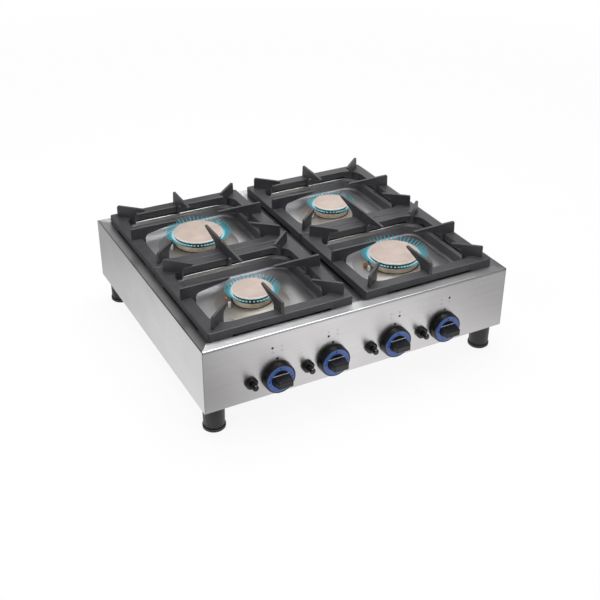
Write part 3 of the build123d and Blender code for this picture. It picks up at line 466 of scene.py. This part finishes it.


# Pan supports: grey iron cast in sand and coated with matt black enamel. The skin keeps the grain
# of the sand, and every edge is lighter, partly from worn enamel and partly as a painted highlight.
sand_grain = 0.00154  # foundry sand is 0.2 to 0.3 mm, drawn coarser so that its skin shows
skin_depth = 0.0002
enamel_patch = 0.0455
edge_round = 0.0012
cast_iron, output = new_finish("enamelled_cast_iron")
place = node(cast_iron, "TexCoord").outputs["Object"]
sand = node(cast_iron, "TexNoise", {
    "Vector": place, "Scale": 1 / sand_grain, "Detail": 4.0, "Roughness": 0.6})
cloud = node(cast_iron, "TexNoise", {"Vector": place, "Scale": 1 / enamel_patch, "Detail": 3.0})
soft = node(cast_iron, "Bevel", {"Radius": edge_round}, {"samples": 6})
face = node(cast_iron, "NewGeometry")
bend = node(cast_iron, "VectorMath", {0: soft.outputs[0], 1: face.outputs["True Normal"]},
            {"operation": "DOT_PRODUCT"})
is_edge = node(cast_iron, "MapRange", {"Value": bend.outputs["Value"], "From Min": 0.98, "From Max": 0.80})
tone = node(cast_iron, "ValToRGB", {"Fac": cloud.outputs[0]}, stops=[(0.3, "#323235"), (0.7, "#3F3F42")])
# Painted highlight and wear: every edge turns lighter, to #6A6A6E.
worn = node(cast_iron, "Mix", {0: is_edge.outputs[0], 6: tone.outputs[0], 7: linear("#6A6A6E")},
            {"data_type": "RGBA"})
relief = node(cast_iron, "Bump", {
    "Height": sand.outputs[0], "Strength": 0.35, "Distance": skin_depth, "Normal": soft.outputs[0]})
gloss = node(cast_iron, "MapRange", {"Value": cloud.outputs[0], "To Min": 0.38, "To Max": 0.55})
iron = node(cast_iron, "BsdfPrincipled", {
    "Base Color": worn.outputs[2], "Roughness": gloss.outputs[0], "IOR": 1.5, "Normal": relief.outputs[0]})
shade(cast_iron, output, iron)
coat(cast_iron, *["grate_" + corner for corner in corner_names])


# Igniters: a threaded collar and a round push button for each burner, moulded in black phenolic
# plastic. The mould is polished, so both are glossy and mirror the room in small highlights.
polish_wave = 0.004  # a polished mould leaves no grain, only long shallow waves
glossy_black = black_moulding("glossy_phenolic", 0.27, polish_wave, "#0A0A0B", "#131415")
coat(glossy_black, "igniter_collars", *["igniter_button_" + corner for corner in corner_names])


# Knobs: black phenolic mouldings with a bar grip, and a ring pressed into the face, blue up to its
# black border. It carries the off dot and the two flame sizes; the grip has a white line.
coat(glossy_black, *["knob_" + corner for corner in corner_names])
flow_mark = 0.0167
border_start = 0.0332  # radius at which a ring's black border begins
ring_blue, output = new_finish("blue_abs_ring")
place = node(ring_blue, "TexCoord").outputs["Object"]
flow = node(ring_blue, "TexNoise", {"Vector": place, "Scale": 1 / flow_mark, "Detail": 3.0})
blue = node(ring_blue, "ValToRGB", {"Fac": flow.outputs[0]}, stops=[(0.3, "#3B5CA2"), (0.7, "#486CB6")])
gloss = node(ring_blue, "MapRange", {"Value": flow.outputs[0], "To Min": 0.25, "To Max": 0.4})

# Folding X about the panel's middle, about the middle of each pair of hubs and then about a hub
# leaves the sideways distance from the nearest hub, so one comparison finds every ring's border.
inner_low, inner_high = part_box("knob_ring_rear_right")
outer_low, outer_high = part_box("knob_ring_front_right")
inner_hub = (inner_low + inner_high) / 2
outer_hub = (outer_low + outer_high) / 2
parts = node(ring_blue, "SeparateXYZ", {"Vector": place})
aside = node(ring_blue, "Math", {0: parts.outputs["X"]}, {"operation": "ABSOLUTE"})
for length in (abs(inner_hub.x + outer_hub.x) / 2, abs(inner_hub.x - outer_hub.x) / 2):
    shifted = node(ring_blue, "Math", {0: aside.outputs[0], 1: length}, {"operation": "SUBTRACT"})
    aside = node(ring_blue, "Math", {0: shifted.outputs[0]}, {"operation": "ABSOLUTE"})
above = node(ring_blue, "Math", {0: parts.outputs["Z"], 1: inner_hub.z}, {"operation": "SUBTRACT"})
arm = node(ring_blue, "CombineXYZ", {"X": aside.outputs[0], "Y": above.outputs[0]})
reach = node(ring_blue, "VectorMath", {0: arm.outputs[0]}, {"operation": "LENGTH"})
is_border = node(ring_blue, "Math", {0: reach.outputs["Value"], 1: border_start},
                 {"operation": "GREATER_THAN"})
tone = node(ring_blue, "Mix", {0: is_border.outputs[0], 6: blue.outputs[0], 7: linear("#0F1012")},
            {"data_type": "RGBA"})
abs_plastic = node(ring_blue, "BsdfPrincipled", {
    "Base Color": tone.outputs[2], "Roughness": gloss.outputs[0], "IOR": 1.53})
shade(ring_blue, output, abs_plastic)
coat(ring_blue, *["knob_ring_" + corner for corner in corner_names])


# Marks on knobs and panel: thin films of matt ink, pad-printed on the rings and screen-printed on
# the steel, and a white filling in the bar of each grip.
ink_patch = 0.002
film = 0.00012  # a print is 0.02 mm thick, drawn thicker so that it clears the sheet
outline_share = 0.12


def ink(name, light, dark):
    """Printed or filled ink: a thin matt film that is a little denser in places."""
    finish, output = new_finish(name)
    place = node(finish, "TexCoord").outputs["Object"]
    density = node(finish, "TexNoise", {"Vector": place, "Scale": 1 / ink_patch, "Detail": 2.0})
    tone = node(finish, "ValToRGB", {"Fac": density.outputs[0]}, stops=[(0.3, dark), (0.7, light)])
    dried = node(finish, "BsdfPrincipled", {"Base Color": tone.outputs[0], "Roughness": 0.45, "IOR": 1.5})
    shade(finish, output, dried)
    return finish


white_ink = ink("white_filling", "#F2F2F0", "#DEDEDC")
black_ink = ink("black_screen_print", "#1A1A1A", "#0C0C0C")
grey_ink = ink("grey_screen_print", "#8E8E8E", "#7C7C7C")
navy_ink = ink("navy_pad_print", "#16235A", "#0F1A48")


def printed(kind, x, y, z, width, height=None, sides=24):
    """A flat print on a face that looks along -Y: its outline is a circle or polygon, stretched."""
    bpy.ops.object.select_all(action="DESELECT")
    bpy.ops.mesh.primitive_circle_add(
        vertices=sides, radius=width / 2, fill_type="NGON", location=(x, y, z), rotation=(math.pi / 2, 0, 0))
    mark = bpy.context.object
    mark.scale = (1.0, (height or width) / width, 1.0)
    bpy.ops.object.transform_apply(location=True, rotation=True, scale=True)
    bpy.ops.object.mode_set(mode="EDIT")
    bpy.ops.mesh.select_all(action="SELECT")
    if kind == "outline":
        bpy.ops.mesh.inset(thickness=width * outline_share)
        bpy.ops.mesh.delete(type="FACE")
        bpy.ops.mesh.select_all(action="SELECT")
    bpy.ops.mesh.extrude_region_move(TRANSFORM_OT_translate={"value": (0, -film, 0)})
    bpy.ops.mesh.select_all(action="SELECT")
    bpy.ops.mesh.normals_make_consistent(inside=False)
    bpy.ops.object.mode_set(mode="OBJECT")
    return mark


def one_piece(marks, name, finish, body):
    """Joins prints of one colour into one piece that rides on a body."""
    bpy.ops.object.select_all(action="DESELECT")
    for mark in marks:
        mark.select_set(True)
    bpy.context.view_layer.objects.active = marks[0]
    bpy.ops.object.join()
    marks[0].name = name
    marks[0].data.materials.append(finish)
    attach(marks[0], body)


# Every mark has its place on the ring: off at the left, full flame on top and low flame at the right.
bodies = frame["record"]["behaviour"]["bodies"]
body_of = {name: body for body, names in bodies.items() for name in names}
mark_radius = 0.0285
off_dot = 0.0042
full_flame = (0.0030, 0.0060)
low_flame = (0.0022, 0.0036)
flame_corners = 12
line_length = 0.040
line_width = 0.0018
line_rise = 0.0115
for corner in corner_names:
    ring_low, ring_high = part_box("knob_ring_" + corner)
    hub = (ring_low + ring_high) / 2
    face_y = ring_low.y
    body = body_of["knob_" + corner]
    marks = [
        printed("solid", hub.x - mark_radius, face_y, hub.z, off_dot),
        printed("solid", hub.x, face_y, hub.z + mark_radius, *full_flame, flame_corners),
        printed("solid", hub.x + mark_radius, face_y, hub.z, *low_flame, flame_corners),
    ]
    one_piece(marks, "knob_marks_" + corner, navy_ink, body)
    bpy.ops.object.select_all(action="DESELECT")
    bpy.ops.mesh.primitive_cube_add(size=1.0, location=(hub.x, face_y - film, hub.z + line_rise))
    line = bpy.context.object
    line.scale = (line_length, film, line_width)
    bpy.ops.object.transform_apply(location=True, rotation=True, scale=True)
    one_piece([line], "knob_line_" + corner, white_ink, body)


# Panel prints: a black triangle over each knob, and four dots in a square that show which burner
# it feeds, with that burner's dot filled.
panel_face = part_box("front_panel")[0].y
cabinet_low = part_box("front_panel")[0].z
triangle_height = cabinet_low + 0.0925
triangle_width = 0.0098
dots_height = cabinet_low + 0.1165
dot_reach = 0.0115
dot_rise = 0.0055
filled_dot = 0.0060
open_dot = 0.0046
dark_marks = []
faint_marks = []
for corner in corner_names:
    ring_low, ring_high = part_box("knob_ring_" + corner)
    hub = (ring_low + ring_high) / 2
    pointer = printed("solid", hub.x, panel_face, triangle_height, triangle_width, triangle_width, 3)
    centre = Vector((hub.x, 0, triangle_height))
    half_turn = Matrix.Rotation(math.pi, 4, "Y")
    pointer.data.transform(Matrix.Translation(centre) @ half_turn @ Matrix.Translation(-centre))
    dark_marks.append(pointer)
    for other in corner_names:
        dot_x = hub.x + (dot_reach if "right" in other else -dot_reach)
        dot_z = dots_height + (dot_rise if "rear" in other else -dot_rise)
        if other == corner:
            dark_marks.append(printed("solid", dot_x, panel_face, dot_z, filled_dot))
        else:
            faint_marks.append(printed("outline", dot_x, panel_face, dot_z, open_dot))
one_piece(dark_marks, "panel_prints", black_ink, "root")
one_piece(faint_marks, "panel_outlines", grey_ink, "root")


# Studio: a pale floor that turns white towards the horizon, and white air. Metal mirrors a softbox
# overhead, a reflector card and grey walls, while a softbox on the ceiling and weaker ones at the
# left and in front light the matt parts. The camera stands where the photograph was taken.
floor_size = 60.0
bpy.ops.object.select_all(action="DESELECT")
bpy.ops.mesh.primitive_plane_add(size=floor_size, location=(0, 0, 0))
floor = bpy.context.object
floor.name = "studio_floor"
floor_paint, output = new_finish("white_floor")
rays = node(floor_paint, "LightPath")
seen = node(floor_paint, "Math", {0: rays.outputs["Is Camera Ray"], 1: rays.outputs["Is Glossy Ray"]},
            {"operation": "MAXIMUM"})
seen_all = node(floor_paint, "Math", {0: seen.outputs[0], 1: rays.outputs["Is Transmission Ray"]},
                {"operation": "MAXIMUM"})
ground = node(floor_paint, "TexCoord").outputs["Object"]
away = node(floor_paint, "VectorMath", {0: ground}, {"operation": "LENGTH"})
whiter = node(floor_paint, "MapRange", {
    "Value": away.outputs["Value"], "From Min": 1.2, "From Max": 3.5, "To Min": 0.9, "To Max": 1.0})
bright = node(floor_paint, "Math", {0: seen_all.outputs[0], 1: whiter.outputs[0]}, {"operation": "MULTIPLY"})
matt = node(floor_paint, "BsdfDiffuse", {"Color": linear("#F8F8F8")})

# Metal mirrors two pools of light on it, one before the front and the other beside the object.
spot = node(floor_paint, "SeparateXYZ", {"Vector": ground})
along_front = node(floor_paint, "MapRange", {"Value": spot.outputs["X"], "From Min": -0.6, "From Max": 0.8})
front_pool = node(floor_paint, "ValToRGB", {"Fac": along_front.outputs[0]}, stops=[
    (0.20, "#9C9C9C"), (0.33, "#E6E6E6"), (0.45, "#FFFFFF"), (0.62, "#F8F8F8"), (0.82, "#B4B4B4")])
along_side = node(floor_paint, "MapRange", {"Value": spot.outputs["Y"], "From Min": -0.3, "From Max": 0.7})
side_pool = node(floor_paint, "ValToRGB", {"Fac": along_side.outputs[0]}, stops=[
    (0.15, "#F8F8F8"), (0.5, "#E8E8E8"), (0.95, "#B0B0B0")])
ahead = node(floor_paint, "MapRange", {"Value": spot.outputs["Y"], "From Min": -0.36, "From Max": -0.46})
pools = node(floor_paint, "Mix", {
    0: ahead.outputs[0], 6: side_pool.outputs[0], 7: front_pool.outputs[0]}, {"data_type": "RGBA"})
pool_light = node(floor_paint, "Mix", {
    0: rays.outputs["Is Glossy Ray"], 6: linear("#FFFFFF"), 7: pools.outputs[2]}, {"data_type": "RGBA"})
pool_level = node(floor_paint, "Mix", {0: rays.outputs["Is Glossy Ray"], 2: 1.0, 3: 1.18})
white = node(floor_paint, "Emission", {"Color": pool_light.outputs[2], "Strength": pool_level.outputs[0]})
surface = node(floor_paint, "MixShader", {0: bright.outputs[0], 1: matt.outputs[0], 2: white.outputs[0]})
shade(floor_paint, output, surface)
floor.data.materials.append(floor_paint)

# The air is white to the eye. Metal sees grey walls, a paler ceiling and a bright rear wall in it.
world = bpy.data.worlds.new("studio_air")
bpy.context.scene.world = world
world.use_nodes = True
world.node_tree.nodes.clear()
air = node(world, "OutputWorld")
rays = node(world, "LightPath")
seen = node(world, "Math", {0: rays.outputs["Is Camera Ray"], 1: rays.outputs["Is Transmission Ray"]},
            {"operation": "MAXIMUM"})
towards = node(world, "SeparateXYZ", {"Vector": node(world, "TexCoord").outputs["Generated"]})
walls = node(world, "MapRange", {
    "Value": towards.outputs["Z"], "From Min": 0.1, "From Max": 0.9, "To Min": 0.16, "To Max": 0.272})
rear_wall = node(world, "MapRange", {
    "Value": towards.outputs["Y"], "From Min": 0.73, "From Max": 0.86, "To Min": 0.0, "To Max": 0.336})
mirrored_air = node(world, "Math", {0: walls.outputs[0], 1: rear_wall.outputs[0]})
lit = node(world, "Mix", {0: rays.outputs["Is Glossy Ray"], 2: 0.24, 3: mirrored_air.outputs[0]})
level = node(world, "Mix", {0: seen.outputs[0], 2: lit.outputs[0], 3: 1.0})
sky = node(world, "Background", {"Color": linear("#FFFFFF"), "Strength": level.outputs[0]})
world.node_tree.links.new(sky.outputs[0], air.inputs["Surface"])


def soft_light(name, place, aim, width, height, power, mirrored):
    """An oblong softbox that looks at a point: it either is mirrored by metal or lights matt parts."""
    lamp = bpy.data.lights.new(name, "AREA")
    lamp.shape = "RECTANGLE"
    lamp.size = width
    lamp.size_y = height
    lamp.energy = power
    box = bpy.data.objects.new(name, lamp)
    box.visible_glossy = mirrored
    box.visible_diffuse = not mirrored
    box.visible_camera = False
    box.location = place
    box.rotation_euler = (Vector(aim) - Vector(place)).to_track_quat("-Z", "Y").to_euler()
    bpy.context.collection.objects.link(box)


soft_light("softbox_overhead", (0.6, -0.4, 2.9), (0, 0, 0.2), 2.2, 2.0, 124, True)
soft_light("reflector_card", (0.5, 0.65, 0.6), (0.1, 0.0, 0.2), 0.8, 0.6, 1.2, True)
soft_light("softbox_ceiling", (0.2, 0.6, 3.2), (0, 0, 0.2), 3.0, 3.0, 98, False)
soft_light("softbox_left", (-2.8, -1.2, 1.8), (0, 0, 0.2), 1.6, 1.6, 32, False)
soft_light("softbox_front", (1.5, -2.6, 1.2), (0, 0, 0.15), 0.8, 1.8, 13, False)

# The camera has the photograph's own place, turn and angle, which the fit of the cabinet gave.
image_width = 600
focal_length = 1006.53  # in pixels, as are the two shifts
shift_right = -34.2
shift_up = -26.6
film_width = 36.0
camera_place = (-1.03666, -2.00127, 1.41478)
turn = math.radians(29.976)
tilt = math.radians(29.439)
roll = math.radians(1.389)
look = Vector((math.sin(turn) * math.cos(tilt), math.cos(turn) * math.cos(tilt), -math.sin(tilt)))
level_right = Vector((math.cos(turn), -math.sin(turn), 0))
level_up = level_right.cross(look)
right = math.cos(roll) * level_right + math.sin(roll) * level_up
up = math.cos(roll) * level_up - math.sin(roll) * level_right
lens = bpy.data.cameras.new("studio_camera")
lens.sensor_width = film_width
lens.lens = film_width * focal_length / image_width
lens.shift_x = shift_right / image_width
lens.shift_y = shift_up / image_width
camera = bpy.data.objects.new("studio_camera", lens)
facing = Matrix((right, up, -look)).transposed().to_4x4()
camera.matrix_world = Matrix.Translation(camera_place) @ facing
bpy.context.collection.objects.link(camera)
bpy.context.scene.camera = camera
bpy.context.scene.view_settings.view_transform = "Standard"
